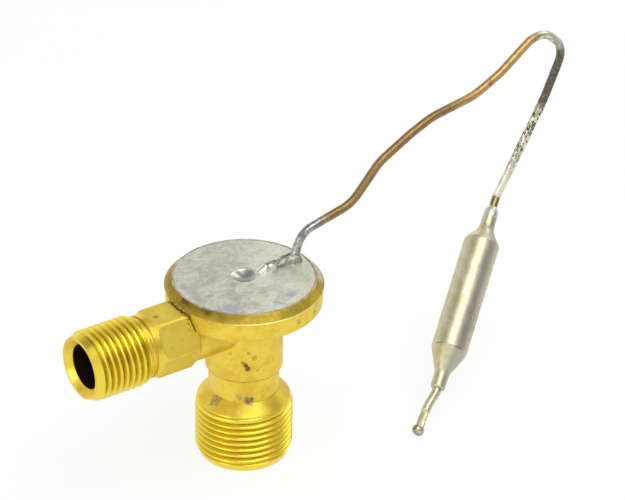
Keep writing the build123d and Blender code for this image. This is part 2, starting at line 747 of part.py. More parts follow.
os.makedirs("parts", exist_ok=True)
pieces = {
    "valve_body": valve_body,
    "cover_disc": cover_disc,
    "rim_solder": rim_solder,
    "diaphragm": diaphragm,
    "buffer_plate": buffer_plate,
    **push_rods,
    "seat_ring": seat_ring,
    "valve_ball": valve_ball,
    "ball_carrier": ball_carrier,
    "superheat_spring": superheat_spring,
    "adjusting_nut": adjusting_nut,
    "strainer_ring": strainer_ring,
    "strainer_screen": strainer_screen,
    "capillary_tube": capillary_tube,
    "capillary_solder": capillary_solder,
    "bulb_shell": bulb_shell,
    "bulb_solder": bulb_solder,
    "charge_tube": charge_tube,
    "tip_bead": tip_bead,
}
for name, piece in pieces.items():
    piece.part.label = name
    export_step(piece.part, f"parts/{name}.step")
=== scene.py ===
"""Looks of a thermostatic expansion valve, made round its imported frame.

Shapes are worked out in millimetres and put into the meshes in metres.  +Z runs up the valve's axis
from the outlet's end face, the inlet points along -X and the capillary leaves along +X.
"""
import math

import bmesh
import bpy
import numpy as np
from mathutils import Matrix, Vector


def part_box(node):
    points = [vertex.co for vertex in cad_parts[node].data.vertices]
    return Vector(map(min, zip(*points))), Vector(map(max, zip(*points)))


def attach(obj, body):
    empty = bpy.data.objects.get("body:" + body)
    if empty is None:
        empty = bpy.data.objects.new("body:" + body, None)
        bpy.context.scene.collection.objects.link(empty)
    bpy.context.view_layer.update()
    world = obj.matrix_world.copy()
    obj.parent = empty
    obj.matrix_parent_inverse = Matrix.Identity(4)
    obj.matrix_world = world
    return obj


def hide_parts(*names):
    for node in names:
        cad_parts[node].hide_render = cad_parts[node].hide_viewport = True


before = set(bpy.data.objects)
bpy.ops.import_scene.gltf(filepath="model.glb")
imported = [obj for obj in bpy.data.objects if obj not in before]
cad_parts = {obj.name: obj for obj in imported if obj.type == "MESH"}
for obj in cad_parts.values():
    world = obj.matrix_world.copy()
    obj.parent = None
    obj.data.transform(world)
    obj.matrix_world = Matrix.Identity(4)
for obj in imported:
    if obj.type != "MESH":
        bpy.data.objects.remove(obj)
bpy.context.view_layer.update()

METRES = 0.001  # one millimetre
TURN = 2 * math.pi

# ---- sizes of the valve, mm -------------------------------------------------------------------
COVER_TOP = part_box("cover_disc")[1].z / METRES
INLET_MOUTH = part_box("valve_body")[0].x / METRES
INLET_AXIS = 35.65
RIM_Z = 43.0
FLANGE_BOTTOM = 38.6
NECK_TOP = 22.4
PITCH = 1.5
THREAD_DEPTH = 0.92
LEAD_DROP = 0.95
OUTLET_LEAD_LENGTH, INLET_LEAD_LENGTH = 2.4, 2.1
OUTLET_END_DROP, INLET_END_DROP, END_LENGTH = 0.6, 0.9, 1.9  # bevel at each thread's inner end
THREAD_START = 0.03
GROOVE_FROM, GROOVE_FULL = 0.7, 1.5  # the groove deepens between these distances from an end face
SLEEVE_WALL = 0.32  # metal under the threads' roots
OUTLET_THREAD_R, OUTLET_THREAD_LENGTH = 10.93, 14.3
INLET_THREAD_R, INLET_THREAD_LENGTH = 7.93, 14.9
INLET_RELIEF_R = 6.7
CAPILLARY_R = 1.0
BULB_R = 4.2

# ---- meshes -----------------------------------------------------------------------------------


def piece(name, points, faces, sharp):
    """An object from points in mm and faces of any size; doubles are merged and faces turned outwards.

    Edges that turn by more than sharp degrees stay hard."""
    mesh = bpy.data.meshes.new(name)
    mesh.from_pydata((np.asarray(points) * METRES).tolist(), [], faces)
    shape = bmesh.new()
    shape.from_mesh(mesh)
    bmesh.ops.remove_doubles(shape, verts=shape.verts, dist=1e-7)
    if shape.calc_volume(signed=True) < 0:
        bmesh.ops.reverse_faces(shape, faces=shape.faces)
    shape.to_mesh(mesh)
    shape.free()
    mesh.shade_smooth()
    mesh.set_sharp_from_angle(angle=math.radians(sharp))
    made = bpy.data.objects.new(name, mesh)
    bpy.context.scene.collection.objects.link(made)
    return made


def quads(rows, following, around):
    """Quads between closed rings of points and the rings that follow them."""
    here, after = np.arange(around), (np.arange(around) + 1) % around
    rows, following = rows[:, None] * around, following[:, None] * around
    return np.stack([rows + here, rows + after, following + after, following + here], -1).reshape(-1, 4)


def ring_faces(count, around):
    """Quads between neighbouring closed rings, and a fan of triangles to a pole point at each end."""
    here, after = np.arange(around), (np.arange(around) + 1) % around
    last, pole = (count - 1) * around, count * around
    fans = np.concatenate([
        np.stack([after, here, np.full(around, pole)], -1),
        np.stack([last + here, last + after, np.full(around, pole + 1)], -1),
    ])
    return quads(np.arange(count - 1), np.arange(1, count), around).tolist() + fans.tolist()


def closed_rings(name, rings, sharp=40):
    """A closed skin through rings[ring, point, xyz], shut at the middle of its first and last ring."""
    poles = np.stack([rings[0].mean(0), rings[-1].mean(0)])
    points = np.concatenate([rings.reshape(-1, 3), poles])
    return piece(name, points, ring_faces(*rings.shape[:2]), sharp)


def waves(points, size, seed):
    """Smooth uneven field in -1..1: the mean of sine waves of about one size in random directions."""
    count = 14
    draw = np.random.default_rng(seed)
    ways = draw.normal(size=(count, 3))
    ways /= np.linalg.norm(ways, axis=1)[:, None]
    rates = TURN / (size * draw.uniform(0.7, 1.6, count))
    starts = draw.uniform(0, TURN, count)
    field = np.sin(np.tensordot(points, ways * rates[:, None], axes=(-1, 1)) + starts)
    return field.sum(-1) / math.sqrt(count / 2) / 2


def ramp(value, low, high):
    """0 below low, 1 above high, and an eased step between them."""
    share = np.clip((value - low) / (high - low), 0, 1)
    return share * share * (3 - 2 * share)


def rounded_route(corners, radii, step):
    """Points about one step apart on straight runs joined by tangent arcs of the given radii.

    At each corner the arc starts r*tan(a/2) before it, a being the turn, and its points are
    centre + r*(cos t * u + sin t * v), where u points from the centre to the arc's start."""
    corners = np.asarray(corners, float)
    runs = np.diff(corners, axis=0)
    runs /= np.linalg.norm(runs, axis=1)[:, None]
    legs = [corners[0]]
    for corner, before, after, radius in zip(corners[1:-1], runs[:-1], runs[1:], radii):
        turn = math.acos(np.clip(before @ after, -1, 1))
        start = corner - before * radius * math.tan(turn / 2)
        inward = after - before * math.cos(turn)
        inward /= np.linalg.norm(inward)
        sweep = np.linspace(0, turn, max(3, round(turn * radius / step)))[:, None]
        legs.append(start + inward * radius * (1 - np.cos(sweep)) + before * radius * np.sin(sweep))
    legs.append(corners[-1])
    bends = np.concatenate([np.atleast_2d(leg) for leg in legs])
    reach = np.r_[0, np.cumsum(np.linalg.norm(np.diff(bends, axis=0), axis=1))]
    along = np.linspace(0, reach[-1], round(reach[-1] / step))
    return np.stack([np.interp(along, reach, bends[:, axis]) for axis in range(3)], -1), along


def frames_along(path, side):
    """Tangent and two cross directions at each point of a path; the first cross one keeps near side."""
    tangent = np.gradient(path, axis=0)
    tangent /= np.linalg.norm(tangent, axis=1)[:, None]
    first = side - tangent * (tangent @ side)[:, None]
    first /= np.linalg.norm(first, axis=1)[:, None]
    return tangent, first, np.cross(tangent, first)


def tube_rings(path, side, width, height, around):
    """Rings of an oval tube: centre + width*cos(t)*first + height*sin(t)*second."""
    angle = np.linspace(0, TURN, around, endpoint=False)
    _, first, second = frames_along(path, np.asarray(side, float))
    return (
        path[:, None]
        + width[:, None, None] * np.cos(angle)[None, :, None] * first[:, None]
        + height[:, None, None] * np.sin(angle)[None, :, None] * second[:, None]
    )


def turned_rings(origin, axis, profile, around):
    """Rings of a turned piece: at each (distance, radius) of the profile, a circle round the axis."""
    axis = np.asarray(axis, float) / np.linalg.norm(axis)
    profile = np.asarray(profile, float)
    first = np.cross(axis, (0.0, 0.0, 1.0) if abs(axis[2]) < 0.9 else (1.0, 0.0, 0.0))
    first /= np.linalg.norm(first)
    second = np.cross(axis, first)
    angle = np.linspace(0, TURN, around, endpoint=False)
    circle = np.cos(angle)[:, None] * first + np.sin(angle)[:, None] * second
    return np.asarray(origin) + profile[:, :1, None] * axis + profile[:, 1:, None] * circle


def smooth_profile(corners, step, passes):
    """A profile resampled every step, its corners rounded by averaging neighbours a few times."""
    corners = np.asarray(corners, float)
    reach = np.r_[0, np.cumsum(np.linalg.norm(np.diff(corners, axis=0), axis=1))]
    along = np.linspace(0, reach[-1], round(reach[-1] / step))
    line = np.stack([np.interp(along, reach, corners[:, axis]) for axis in range(2)], -1)
    for _ in range(passes):
        line[1:-1] = (line[:-2] + 2 * line[1:-1] + line[2:]) / 4
    return line


# ---- shader maths -----------------------------------------------------------------------------


class Value:
    """A shader socket in a sum: each operator adds its Math node to the socket's tree."""

    def __init__(self, nodes, socket):
        self.nodes, self.socket = nodes, socket

    def maths(self, operation, *others):
        return self.nodes.maths(operation, self, *others)

    def __add__(self, other):
        return self.maths("ADD", other)

    def __mul__(self, other):
        return self.maths("MULTIPLY", other)

    def __sub__(self, other):
        return self.maths("SUBTRACT", other)

    def __rsub__(self, other):
        return self.nodes.maths("SUBTRACT", other, self)

    __radd__, __rmul__ = __add__, __mul__

    def rise(self, low, high, most=1.0, kind="SMOOTHSTEP"):
        """0 below low, most above high, and between them eased, or straight where kind is LINEAR."""
        sockets = {0: self, 1: low, 2: high, 3: 0.0, 4: most}
        return self.nodes.node("MapRange", {"interpolation_type": kind}, sockets)

    def within(self, low, high, edge):
        """1 between low and high, with eased edges."""
        return self.rise(low - edge, low + edge) * (1 - self.rise(high - edge, high + edge))


class Nodes:
    """A node tree of a material or of the world."""

    def __init__(self, tree):
        self.tree = tree

    def put(self, value, socket):
        """Links a Value to a socket, or sets the socket to anything else."""
        if isinstance(value, Value):
            self.tree.links.new(value.socket, socket)
        else:
            socket.default_value = value

    def node(self, kind, settings, values, output=0):
        """Adds a node, its settings first and then its sockets' values or links; returns one output."""
        made = self.tree.nodes.new("ShaderNode" + kind)
        for key, setting in settings.items():
            setattr(made, key, setting)
        for key, value in values.items():
            self.put(value, made.inputs[key])
        return Value(self, made.outputs[output])

    def maths(self, operation, *values):
        return self.node("Math", {"operation": operation}, dict(enumerate(values)))

    def along(self, vector, way):
        """How far a vector reaches along a direction: their dot product."""
        return self.node("VectorMath", {"operation": "DOT_PRODUCT"}, {0: vector, 1: tuple(way)}, "Value")


class Finish(Nodes):
    """A procedural material, metal unless it is fed otherwise."""

    def __init__(self, name):
        self.material = bpy.data.materials.new(name)
        self.material.use_nodes = True
        super().__init__(self.material.node_tree)
        self.shader = self.tree.nodes["Principled BSDF"]
        self.place = self.node("TexCoord", {}, {}, "Object")
        self.colour = None  # each finish sets it and then lays more over it
        self.feed(Metallic=1.0)

    def axes(self):
        """The three object coordinates, in mm."""
        return [self.node("SeparateXYZ", {}, {0: self.place}, i) * (1 / METRES) for i in range(3)]

    def stretched(self, across, turn=(0.0, 0.0, 0.0)):
        """Object coordinates squeezed along each axis, for grain that runs one way."""
        return self.node("Mapping", {}, {0: self.place, 2: turn, 3: across})

    def drawn_out(self, way, share):
        """Object coordinates with a share of their part along a way taken off, for marks drawn along it."""
        part = self.along(self.place, way) * share
        taken = self.node("VectorMath", {"operation": "SCALE"}, {0: way, "Scale": part})
        return self.node("VectorMath", {"operation": "SUBTRACT"}, {0: self.place, 1: taken})

    def noise(self, size, detail=3.0, rough=0.55, warp=0.0, place=None):
        """Noise in 0..1 with features of about size mm."""
        return self.node(
            "TexNoise", {},
            {"Vector": place or self.place, "Scale": 1 / (size * METRES), "Detail": detail,
             "Roughness": rough, "Distortion": warp},
        )

    def distance(self, centre):
        """Distance from a point given in mm, in mm."""
        offset = self.node(
            "VectorMath", {"operation": "DISTANCE"},
            {0: self.place, 1: tuple(c * METRES for c in centre)}, "Value",
        )
        return offset * (1 / METRES)

    def spot(self, centre, radius, ragged, size):
        """Uneven stain round a point: 1 inside, 0 outside, its edge pushed about by noise."""
        reach = self.distance(centre) + (self.noise(size, 4.0, 0.65) - 0.5) * (ragged * radius * 2.4)
        return 1 - reach.rise(radius * 0.55, radius * 1.15)

    def spots(self, rows):
        """Sum of stains; a row holds x, y, z, radius, raggedness, its noise's size and its strength."""
        return sum(self.spot(row[:3], *row[3:6]) * row[6] for row in rows)

    def blend(self, under, over, mask):
        """The colour under, with the colour over laid on it as far as the mask says."""
        under, over = (paint(*c) if isinstance(c, tuple) else c for c in (under, over))
        return self.node("Mix", {"data_type": "RGBA"}, {0: mask, 6: under, 7: over}, 2)

    def lay(self, over, mask):
        """Lays a colour on the finish's own colour, as far as the mask says."""
        self.colour = self.blend(self.colour, over, mask)

    def bump(self, height, distance, strength, under=None):
        """Normal from a height in 0..1, its full height given in mm."""
        values = {"Height": height, "Distance": distance * METRES, "Strength": strength}
        if under is not None:
            values["Normal"] = under
        return self.node("Bump", {}, values)

    def feed(self, **values):
        """Gives the shader's sockets values or links; an underscore stands for a space."""
        for socket, value in values.items():
            self.put(value, self.shader.inputs[socket.replace("_", " ")])
        return self.material

    def done(self, roughness, normal):
        """The material, fed with the finish's own colour and these two."""
        return self.feed(Base_Color=self.colour, Roughness=roughness, Normal=normal)


def paint(red, green, blue):
    """An sRGB colour given in 0..255, as the linear colour that a socket takes."""
    channels = [c / 255 for c in (red, green, blue)]
    return (*[c / 12.92 if c <= 0.04045 else ((c + 0.055) / 1.055) ** 2.4 for c in channels], 1.0)


# ---- finishes ---------------------------------------------------------------------------------

BRASS_BRIGHT = (240, 212, 84)
BRASS_DEEP = (222, 190, 66)
BRASS_OLIVE = (196, 166, 66)
GRIME_AND_SHADE = (112, 88, 52)
LIP_SHADE = (58, 46, 32)
TIN_PALE = (226, 226, 214)
TIN_WARM = (222, 217, 192)
TIN_BLUE = (176, 178, 188)
TIN_DARK = (126, 126, 122)

# spots: x, y, z, radius, raggedness, size of the noise and strength
BODY_STAINS = (
    (-4.95, -7.1, 27.75, 0.55, 1.0, 1.2, 0.6), (-4.5, -7.4, 27.1, 0.6, 1.0, 1.2, 0.8),
    (-4.05, -7.62, 26.2, 0.75, 1.0, 1.2, 0.9), (-3.9, -7.7, 30.1, 0.6, 1.1, 1.2, 0.5),
    (-2.7, -8.22, 28.9, 0.75, 1.1, 1.2, 0.4), (-7.0, -5.1, 29.7, 0.5, 1.1, 1.2, 0.35),
    (-2.0, -8.4, 25.5, 0.45, 1.1, 1.2, 0.3), (-23.3, -0.5, 42.45, 0.8, 0.8, 1.2, 0.55),
    (3.0, -17.0, 40.8, 0.6, 0.8, 1.2, 0.35), (8.3, -15.4, 40.5, 0.7, 0.8, 1.2, 0.3),
)
NECK_RESIDUE = (
    (-3.4, -7.2, 17.2, 1.3, 0.9, 0.9, 0.9), (-7.9, -1.2, 15.6, 1.9, 1.0, 1.2, 0.6),
    (-5.3, -5.9, 18.2, 0.9, 0.9, 1.2, 0.45),
)
COVER_BLUE = (
    (-9.8, -9.2, COVER_TOP, 1.9, 1.0, 1.6, 0.75), (4.6, -11.6, COVER_TOP, 1.3, 1.0, 1.2, 0.5),
    (3.4, -12.2, COVER_TOP, 1.2, 1.0, 1.2, 0.4),
)


def brass_body():
    """Forged brass, turned on its flange and neck; tin has run down one side of the rolled lip."""
    f = Finish("brass_forged_and_turned")
    x, y, z = f.axes()
    mottle, fine = f.noise(5.0, 4.0, 0.6), f.noise(0.8, 4.0, 0.65)
    f.colour = f.blend(BRASS_DEEP, BRASS_BRIGHT, mottle.rise(0.34, 0.6))
    f.lay(BRASS_OLIVE, fine.rise(0.52, 0.8) * 0.5)
    # the hexagon keeps more of its dull forged skin
    hexagon = x.within(-25.0, -15.4, 0.12) * (1 - z.rise(42.48, 42.6))
    f.lay((230, 210, 92), hexagon * 0.6)
    f.lay((160, 134, 58), hexagon * f.noise(0.9, 5.0, 0.7).rise(0.54, 0.78) * 0.6)
    # stains plus painted shade: darker in the corner where the flange is cut into the hexagon, under the
    # step at the neck's top and under the flange; the listed spots are stains, and a faint darker band lies
    # at the neck's foot
    seam = x.within(-17.9, -16.9, 0.3) * z.rise(38.5, 41.5) * f.noise(0.8, 4.0, 0.7).rise(0.42, 0.56)
    step = z.within(NECK_TOP - 0.2, NECK_TOP + 0.28, 0.08) * (0.6 + 0.4 * f.noise(1.2, 3.0).rise(0.45, 0.55))
    foot = z.within(16.6, 16.95, 0.12) * f.noise(2.6, 3.0).rise(0.4, 0.6)
    under = z.within(FLANGE_BOTTOM - 0.2, FLANGE_BOTTOM + 0.05, 0.12) * x.rise(-15.0, -14.0)
    darkening = (f.spots(BODY_STAINS) + seam * 0.8 + step * 0.9 + foot * 0.3 + under * 0.45).maths("MINIMUM", 1.0)
    # the stains and the painted shade share one colour
    f.lay(GRIME_AND_SHADE, darkening)
    # flux residue at the foot of the neck
    residue = f.spots(NECK_RESIDUE).maths("MINIMUM", 1.0)
    f.lay(f.blend((168, 146, 122), (112, 96, 62), fine.rise(0.45, 0.6)), residue)
    # painted shade: the inlet's bore is painted dark
    from_inlet = (y * y + (z - INLET_AXIS) * (z - INLET_AXIS)).maths("SQRT")
    bore = (1 - from_inlet.rise(5.02, 5.16)) * (1 - x.rise(-22.0, -20.0))
    f.lay(f.blend((74, 54, 44), (44, 32, 28), fine), bore)
    # rolled lip: dull, with painted shade beside the hexagon, tinned beside the capillary
    lip = z.rise(RIM_Z + 0.02, RIM_Z + 0.12)
    bearing = y.maths("ARCTAN2", x) * (360 / TURN)
    worn = f.blend((188, 162, 62), (156, 131, 52), (mottle * 0.5 + fine * 0.5).rise(0.38, 0.62))
    f.lay(worn, lip * 0.9)
    # painted shade: the lip darkens beside the hexagon
    hexagon_shade = bearing.maths("ABSOLUTE").rise(98, 156) * (0.5 + 0.5 * f.noise(3.0, 3.0, 0.5).rise(0.36, 0.62))
    hexagon_shade = hexagon_shade * z.rise(RIM_Z - 0.1, RIM_Z + 1.3) * (1 - bearing.rise(0.0, 1.0) * 0.5)
    f.lay(LIP_SHADE, hexagon_shade * lip * 0.75)
    # painted highlight: a bright line along the front of the turned bead under the lip
    edge = z.within(RIM_Z - 0.06, RIM_Z + 0.12, 0.05) * bearing.within(-128, -56, 12)
    f.lay((246, 232, 150), edge * 0.8)
    tinned = z.rise(RIM_Z + 0.1, RIM_Z + 0.5) * (bearing + (mottle - 0.5) * 20).within(-34, 62, 5)
    f.lay(f.blend(TIN_BLUE, TIN_WARM, fine.rise(0.4, 0.6)), tinned * 0.85)
    roughness = 0.36 + 0.14 * fine + 0.14 * hexagon + 0.2 * darkening + 0.1 * lip + 0.2 * bore
    rings = f.noise(0.3, 2.0, 0.5, 0.0, f.stretched((0.05, 0.05, 1.0)))
    normal = f.bump(f.noise(0.6, 4.0, 0.6), 0.03, 0.5)
    normal = f.bump(f.noise(2.6, 2.0, 0.5), 0.06, 0.3, normal)
    normal = f.bump(rings, 0.015, 0.25, normal)
    return f.done(roughness, normal)


def brass_threads():
    """Freshly cut brass, with painted shade in the roots: deeper in colour there and darker still in
    patches.
    """
    f = Finish("brass_cut_threads")
    root = f.node("Attribute", {"attribute_name": "root"}, {}, "Fac")
    mottle = f.noise(4.0, 4.0, 0.6)
    # painted shade: the colour deepens towards the roots, and darker patches lie in them below
    f.colour = f.blend((242, 220, 80), (222, 192, 62), root * 0.5 + mottle * 0.3)
    darkening = root.rise(0.72, 0.98) * (0.45 + 0.5 * f.noise(2.4, 3.0).rise(0.3, 0.7))
    f.lay((108, 84, 34), darkening)
    roughness = 0.24 + 0.12 * f.noise(0.8, 3.0) + 0.1 * root
    normal = f.bump(f.noise(0.5, 3.0, 0.6), 0.02, 0.35)
    return f.done(roughness, normal)


def tinned_cover():
    """Brushed tin plate: cloudy, with warm and bluish patches and fine scratches, a painted sheen towards
    one side and painted shade in the dimple.
    """
    f = Finish("tinned_cover")
    x, y, _ = f.axes()
    cloud, grit = f.noise(2.2, 7.0, 0.72, 1.2), f.noise(0.6, 5.0, 0.75, 0.6)
    f.colour = f.blend((212, 210, 190), TIN_PALE, cloud.rise(0.38, 0.6))
    # painted sheen: the sheet is lighter towards +x and -y
    f.lay((250, 248, 230), (x * 0.6 - y * 0.35).rise(-3.0, 9.0) * 0.75)
    grain = f.noise(0.6, 4.0, 0.7, 0.8, f.stretched((0.45, 1.0, 1.0), (0.0, 0.0, 0.5)))
    f.lay((176, 176, 166), grain.rise(0.5, 0.72) * 0.5)
    f.lay((150, 150, 142), grit.rise(0.54, 0.74) * 0.7)
    f.lay((240, 238, 224), f.noise(0.8, 4.0, 0.7).rise(0.56, 0.72) * 0.5)
    drift = f.noise(4.5, 6.0, 0.62, 1.0).rise(0.44, 0.62) * (1 - 0.5 * x.rise(-2.0, 8.0))
    f.lay((172, 172, 166), drift * 0.55)
    blue = f.spots(COVER_BLUE) + f.noise(5.0, 4.0, 0.6).rise(0.56, 0.7) * 0.4
    f.lay(TIN_BLUE, blue.maths("MINIMUM", 1.0) * 0.8)
    scratch = f.noise(0.16, 1.0, 0.4, 0.3, f.stretched((0.06, 1.0, 1.0), (0.0, 0.0, -0.6))).rise(0.63, 0.7)
    f.lay(TIN_DARK, scratch * f.noise(2.5).rise(0.4, 0.6) * 0.6)
    # painted shade in the dimple
    dimple_shade = 1 - f.distance((*DIMPLE_AT, COVER_TOP)).rise(2.2, 3.1)
    f.lay((156, 155, 156), dimple_shade * 0.7)
    edge = (x * x + y * y).maths("SQRT").rise(15.3, 15.7)
    f.lay((168, 162, 128), edge * 0.7)
    roughness = 0.3 + 0.2 * cloud + 0.1 * grain - 0.1 * scratch - 0.12 * dimple_shade
    normal = f.bump(grain, 0.02, 0.4)
    normal = f.bump(f.noise(1.6, 4.0, 0.65), 0.07, 0.5, normal)
    return f.done(roughness, normal)


def cap_solder():
    """Tin solder that froze unevenly, with a little flux left in its hollows."""
    f = Finish("bulb_solder")
    crust = f.noise(0.7, 5.0, 0.7, 0.5)
    f.colour = f.blend(TIN_PALE, (196, 194, 184), f.noise(2.0, 3.0))
    f.lay((74, 72, 66), crust.rise(0.5, 0.64) * 0.15)
    roughness = 0.24 + 0.3 * f.noise(1.3, 4.0)
    return f.done(roughness, f.bump(crust, 0.06, 0.6))


def ridge_solder():
    """The ridge's solder: bright and smooth at its toe, then crusted, with a painted shade line along its
    crest and a painted shadow at its heel.
    """
    f = Finish("ridge_solder")
    x, y, _ = f.axes()
    crust = f.noise(0.75, 5.0, 0.68, 0.4)
    body = x.rise(5.4, 7.2)
    f.colour = f.blend((240, 240, 230), (172, 171, 162), body)
    # painted shade: a dark jagged line runs along the crest, on the side away from the run of solder; the
    # crust's dark flecks are real
    wander = y + (f.noise(1.1, 4.0, 0.7) - 0.5) * 2.2 - 0.25
    line = 1 - wander.maths("ABSOLUTE").rise(0.1, 0.42)
    marks = (line * 0.75 + crust.rise(0.5, 0.64) * 0.45).maths("MINIMUM", 1.0)
    f.lay((82, 80, 72), body * marks)
    # painted shadow at the heel of the ridge
    f.lay((104, 104, 100), x.rise(13.4, 14.4) * 0.6)
    roughness = 0.24 + 0.2 * body + 0.14 * crust
    return f.done(roughness, f.bump(crust, 0.09, 0.6))


def capillary_metal():
    """Drawn copper, lighter and more golden before the top bend as a painted highlight, tinned near the head
    and from the top bend on, where the tin is dull, then flaked.

    The marks below are distances along the tube, in mm; noise pushes most of them about a little."""
    f = Finish("capillary_copper_and_tin")
    along = f.node("Attribute", {"attribute_name": "along"}, {}, "Fac")
    patches, flecks = f.noise(1.5, 4.0, 0.65), f.noise(0.55, 4.0, 0.7)
    ragged = along + (f.noise(1.8, 4.0, 0.65) - 0.5) * 5
    # painted highlight: from about 54 mm along, the copper turns lighter and more golden
    copper = f.blend((156, 128, 84), (202, 168, 110), ragged.rise(54, 66) * 0.8)
    copper = f.blend(copper, (128, 100, 66), patches.rise(0.46, 0.7) * 0.6)
    tin = f.blend((186, 186, 176), (132, 132, 124), patches.rise(0.38, 0.6))
    crown = f.blend((214, 210, 186), (168, 162, 138), patches.rise(0.42, 0.6))
    dull = f.blend((118, 112, 98), (82, 76, 62), flecks.rise(0.4, 0.6))
    clean = f.blend((224, 221, 198), (194, 190, 166), patches.rise(0.46, 0.66))
    dashes = f.noise(0.42, 4.0, 0.7, 0.0, f.drawn_out((-0.37, 0.09, -0.92), 0.55)).rise(0.47, 0.54)
    flaked = f.blend(clean, (70, 64, 50), dashes * (1 - 0.45 * ragged.rise(122, 130)))
    f.colour = f.blend(tin, copper, ragged.rise(16.5, 20.5))
    f.lay(crown, ragged.rise(85.5, 88.0))
    f.lay(dull, ragged.rise(94, 99))
    f.lay(flaked, ragged.rise(111, 115))
    f.lay(clean, ragged.rise(129, 132))
    f.lay((150, 138, 86), along.rise(ROUTE_LENGTH - 7.1, ROUTE_LENGTH - 6.7))
    roughness = 0.24 + 0.2 * patches + 0.14 * along.within(18.0, 87.0, 1.5)
    normal = f.bump(f.noise(0.8, 4.0, 0.65), 0.05, 0.5)
    return f.done(roughness, normal)


def tinned_bulb():
    """Tinned copper tube, brushed round and round, with a painted dark reflection band along one side and a
    few pits on the barrel.
    """
    f = Finish("tinned_bulb")
    reach, side = (
        f.along(f.place, way) * (1 / METRES) - float(BULB_LOW_END @ way) for way in (BULB_WAY, BULB_SIDE)
    )
    patches = f.noise(3.0, 5.0, 0.62, 0.4)
    across = f.noise(0.9, 3.0, 0.6) * 0.35
    brushed = f.node(
        "TexNoise", {"noise_dimensions": "1D"}, {"W": reach * 3.2 + across, "Detail": 5.0, "Roughness": 0.75}
    )
    f.colour = f.blend((206, 199, 160), (220, 215, 186), patches.rise(0.38, 0.62))
    f.lay((174, 165, 124), f.noise(1.6, 5.0, 0.68).rise(0.5, 0.72) * 0.5)
    # painted reflection: a greyer band down one side of the bulb
    f.lay((168, 168, 166), side.within(0.6, 3.6, 0.7) * 0.6)
    f.lay((160, 155, 130), brushed.rise(0.45, 0.68) * 0.6)
    low_side = f.distance(tuple(BULB_LOW_END + BULB_WAY * 18.0 + np.array([2.6, -2.8, -1.6]))).rise(2.0, 6.5)
    pits = f.noise(0.6, 4.0, 0.7).rise(0.52, 0.6) * (1 - low_side)
    f.lay((84, 82, 74), pits * 0.75)
    joint_at = BULB_LENGTHS[0] + BULB_LENGTHS[1]
    joint = reach.within(joint_at - 0.1, joint_at + 0.1, 0.1) * f.noise(2.2, 2.0).rise(0.4, 0.55)
    f.lay((96, 92, 76), joint * 0.8)
    roughness = 0.34 + 0.14 * patches + 0.08 * brushed
    normal = f.bump(brushed, 0.016, 0.6)
    normal = f.bump(f.noise(1.2, 4.0, 0.6), 0.03, 0.4, normal)
    return f.done(roughness, normal)


def plain_metal(name, colour, shade, roughness, size=1.5):
    """Plain metal: one colour clouded with another, and a finely uneven surface."""
    f = Finish(name)
    cloud = f.noise(size, 4.0, 0.6)
    f.colour = f.blend(colour, shade, cloud.rise(0.35, 0.7))
    return f.done(roughness + 0.15 * cloud, f.bump(f.noise(size / 3), 0.02, 0.4))


def gauze_metal():
    """Woven brass gauze: threads cross every third of a millimetre, with painted shade between them."""
    f = Finish("strainer_gauze")
    x, y, z = f.axes()
    screen_r, spacing = 3.6, 0.33
    round_it = (z - INLET_AXIS).maths("ARCTAN2", y) * screen_r
    warp, weft = (v * (TURN / spacing) for v in (x, round_it))
    weave = (warp.maths("SINE") * 0.5 + 0.5).maths("MAXIMUM", weft.maths("SINE") * 0.5 + 0.5)
    # painted shade in the openings between the threads
    f.colour = f.blend((40, 32, 18), (196, 160, 84), weave.rise(0.45, 0.8))
    return f.done(0.35 + 0.1 * weave, f.bump(weave, 0.08, 0.8))


# ---- valve body and its threads ---------------------------------------------------------------


def body_without_crests():
    """The body's own mesh, its two thread cylinders drawn in to just under the thread's roots."""
    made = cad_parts["valve_body"].copy()
    made.data = made.data.copy()
    made.name = made.data.name = "valve_body_forging"
    bpy.context.scene.collection.objects.link(made)
    shape = bmesh.new()
    shape.from_mesh(made.data)
    bmesh.ops.remove_doubles(shape, verts=shape.verts, dist=2e-6)
    undercut = 0.4
    bmesh.ops.bisect_plane(
        shape, geom=[*shape.verts, *shape.edges, *shape.faces], dist=1e-7,
        plane_co=(0, 0, (OUTLET_THREAD_LENGTH - undercut) * METRES), plane_no=(0, 0, 1),
    )
    near = 0.02 * METRES
    inlet_crests_from = 7.0 * METRES
    for vert in shape.verts:
        x, y, z = vert.co
        from_axis, from_inlet_axis = math.hypot(x, y), math.hypot(y, z - INLET_AXIS * METRES)
        within = near < z < (OUTLET_THREAD_LENGTH - undercut / 2) * METRES
        if within and from_axis > (OUTLET_THREAD_R - LEAD_DROP) * METRES + near:
            shrink = (OUTLET_THREAD_R - LEAD_DROP - 0.02) * METRES / from_axis
            vert.co.x, vert.co.y = x * shrink, y * shrink
        outside = x < (INLET_MOUTH + INLET_THREAD_LENGTH) * METRES + near
        if outside and from_inlet_axis > inlet_crests_from:
            shrink = (INLET_RELIEF_R + 0.02) * METRES / from_inlet_axis
            vert.co.y = y * shrink
            vert.co.z = INLET_AXIS * METRES + (z - INLET_AXIS * METRES) * shrink
    shape.to_mesh(made.data)
    shape.free()
    # the loaded normals no longer fit the moved points, so large faces set them afresh
    made.data.attributes.remove(made.data.attributes["custom_normal"])
    made.data.shade_smooth()
    made.data.set_sharp_from_angle(angle=math.radians(28))
    made.modifiers.new("even_normals", "WEIGHTED_NORMAL").keep_sharp = True
    made.data = bpy.data.meshes.new_from_object(made.evaluated_get(bpy.context.evaluated_depsgraph_get()))
    made.modifiers.clear()
    made.data.name = made.name
    return made


